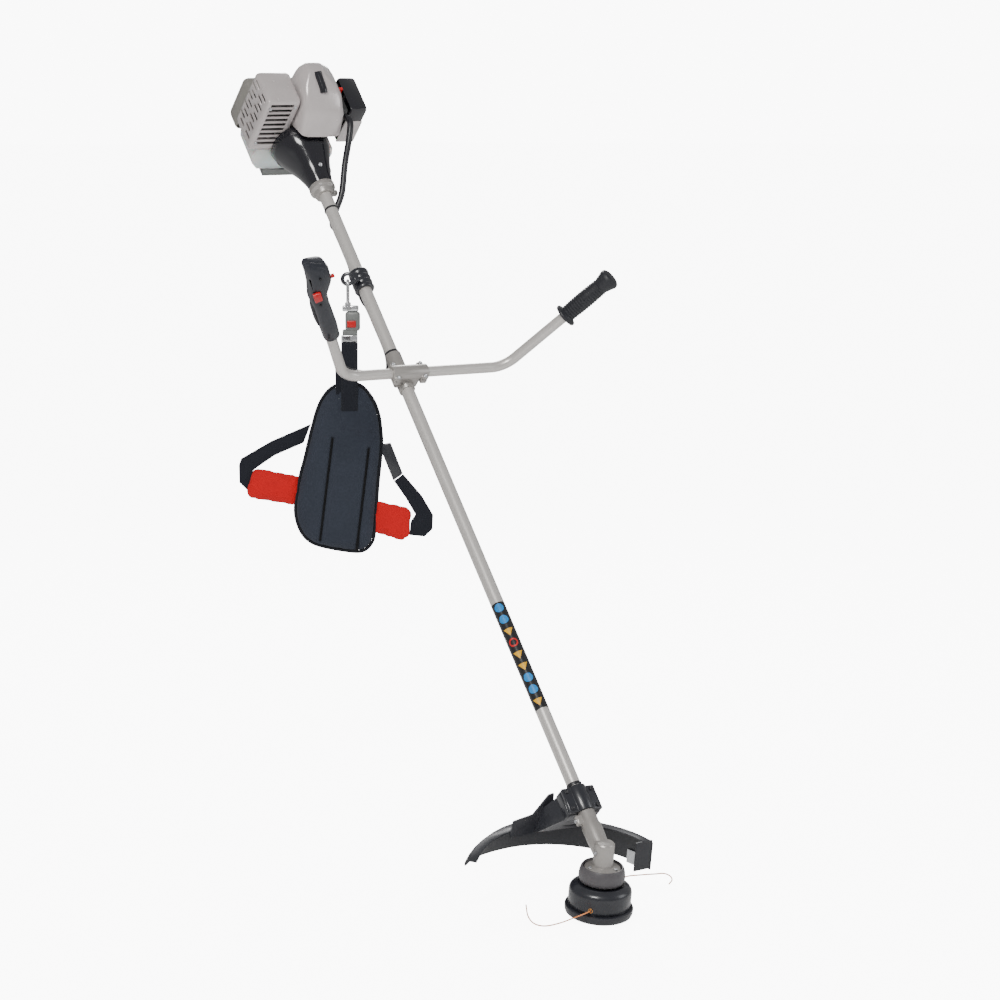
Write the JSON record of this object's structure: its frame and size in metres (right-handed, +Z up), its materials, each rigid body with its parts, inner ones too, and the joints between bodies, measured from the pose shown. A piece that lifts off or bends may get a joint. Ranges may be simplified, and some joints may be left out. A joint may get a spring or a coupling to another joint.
{
  "type": "string trimmer",
  "caption": "Petrol string trimmer with a straight shaft, two-arm handlebar, nylon-line bump-feed head, guard, rear engine and a hip-pad harness.",
  "frame": {"origin": "centre of the flat underside of the bump knob, where the cutting head rests on the ground", "axes": "+Z up; the shaft rises toward +Y at 46 degrees; +X is the side of the plain grip"},
  "size_m": [0.7058, 1.3652, 1.5023],
  "materials": {
    "cast": "cast, painted satin silver",
    "steel": "ground steel",
    "tube": "satin silver paint",
    "black_plastic": "semi-gloss black",
    "gloss_black": "gloss black",
    "dark_plastic": "dark grey",
    "rubber": "moulded, ribbed",
    "red": "red",
    "orange_nylon": "extruded nylon",
    "pearl_silver": "pearl silver",
    "tank_white": "translucent white",
    "clear_bulb": "clear",
    "fabric": "padded mesh",
    "webbing": "woven",
    "red_fabric": "padded",
    "grey_plastic": "mid grey"
  },
  "bodies": {
    "machine": {"gear_case": "cast", "bar_clamp_base": "cast", "bar_clamp_cap": "cast", "shaft_collar": "cast", "crankcase": "cast", "cylinder": "cast", "muffler": "cast", "carburettor": "cast", "line_cutter_blade": "steel", "spark_plug": "steel", "shaft_tube": "tube", "handlebar": "tube", "guard_shell": "black_plastic", "guard_bracket": "black_plastic", "guard_clamp_cap": "black_plastic", "hanger_clamp": "black_plastic", "throttle_cable": "black_plastic", "filter_cover": "black_plastic", "tank_stand": "black_plastic", "clutch_housing": "gloss_black", "dust_cover": "dark_plastic", "handle_shell_front": "dark_plastic", "handle_shell_rear": "dark_plastic", "plain_grip": "rubber", "cylinder_cover": "pearl_silver", "muffler_guard": "pearl_silver", "starter_housing": "pearl_silver", "fuel_tank": "tank_white"},
    "cutting_head": {"bevel_wheel": "steel", "output_shaft": "steel", "spool_housing": "black_plastic", "head_cover": "black_plastic", "spool_spring": "steel", "line_left": "orange_nylon", "line_right": "orange_nylon"},
    "bump_set": {"bump_knob": "black_plastic", "spool": "dark_plastic"},
    "drive_line": {"drive_shaft": "steel", "bevel_pinion": "steel", "clutch_drum": "steel"},
    "crank": {"crankshaft": "steel", "flywheel": "cast"},
    "trigger": {"throttle_trigger": "black_plastic"},
    "lockout": {"trigger_lockout": "black_plastic"},
    "rocker": {"stop_switch": "red"},
    "button": {"half_throttle_button": "red"},
    "choke": {"choke_lever": "red"},
    "tank_cap": {"fuel_cap": "black_plastic"},
    "primer": {"primer_bulb": "clear_bulb"},
    "pull_grip": {"starter_grip": "black_plastic"},
    "harness": {"snap_hook": "steel", "quick_release": "grey_plastic", "shoulder_strap": "webbing", "hip_pad": "fabric", "waist_strap_left": "webbing", "waist_strap_right": "webbing", "side_pad_left": "red_fabric", "side_pad_right": "red_fabric", "side_buckle": "black_plastic"},
    "tab": {"release_tab": "red"}
  },
  "joints": [
    {"name": "head_spin", "type": "hinge", "parent": "machine", "child": "cutting_head", "pos_m": [0, -0.01869, 0.11803], "axis": [0, -0.1564, 0.9877], "continuous": true},
    {"name": "bump_press", "type": "slide", "parent": "cutting_head", "child": "bump_set", "axis": [0, -0.1564, 0.9877], "range_m": [0, 0.006], "stiffness_N_per_m": 1500, "springref_m": -0.004, "deforming": ["spool_spring"]},
    {"name": "drive_spin", "type": "hinge", "parent": "machine", "child": "drive_line", "pos_m": [0, -0.01869, 0.11803], "axis": [0, 0.6947, 0.7193], "continuous": true},
    {"name": "crank_spin", "type": "hinge", "parent": "machine", "child": "crank", "pos_m": [0, 1.1848, 1.36428], "axis": [0, 0.6947, 0.7193], "continuous": true},
    {"name": "throttle_pull", "type": "hinge", "parent": "machine", "child": "trigger", "pos_m": [-0.27287, 0.56447, 1.09918], "axis": [-0.8746, 0.3116, -0.3714], "range_deg": [0, 9], "stiffness_Nm_per_rad": 0.6, "springref_deg": -8.59},
    {"name": "lockout_press", "type": "hinge", "parent": "machine", "child": "lockout", "pos_m": [-0.2729, 0.57168, 1.06491], "axis": [0, -0.766, -0.6428], "range_deg": [0, 2.6], "stiffness_Nm_per_rad": 0.5, "springref_deg": -6.88},
    {"name": "switch_rock", "type": "hinge", "parent": "machine", "child": "rocker", "pos_m": [-0.2786, 0.53566, 1.07906], "axis": [0.8746, -0.3116, 0.3714], "range_deg": [-8, 8]},
    {"name": "button_press", "type": "slide", "parent": "machine", "child": "button", "axis": [-0.8746, 0.3116, -0.3714], "range_m": [0, 0.003], "stiffness_N_per_m": 400, "springref_m": -0.002},
    {"name": "choke_turn", "type": "hinge", "parent": "machine", "child": "choke", "pos_m": [0.065, 1.12103, 1.43213], "axis": [1, 0, 0], "range_deg": [0, 55]},
    {"name": "cap_turn", "type": "hinge", "parent": "machine", "child": "tank_cap", "pos_m": [0.055, 1.26527, 1.35261], "axis": [0, 0.6947, 0.7193], "range_deg": [0, 360]},
    {"name": "primer_press", "type": "slide", "parent": "machine", "child": "primer", "axis": [0, -0.7193, 0.6947], "range_m": [0, 0.003], "stiffness_N_per_m": 300, "springref_m": -0.001},
    {"name": "starter_pull", "type": "slide", "parent": "machine", "child": "pull_grip", "axis": [0, 0.6947, 0.7193], "range_m": [0, 0.45], "stiffness_N_per_m": 30, "springref_m": -0.1},
    {"name": "harness_swing", "type": "hinge", "parent": "machine", "child": "harness", "pos_m": [-0.038, 0.88536, 1.06673], "axis": [0.866, -0.5, 0], "range_deg": [-35, 35]},
    {"name": "tab_lift", "type": "hinge", "parent": "harness", "child": "tab", "pos_m": [-0.0452, 0.87889, 0.96523], "axis": [-0.866, 0.5, 0], "range_deg": [0, 70]}
  ],
  "couplings": [
    {"joint": "drive_spin", "follows": "head_spin", "ratio": 1.3571}
  ]
}
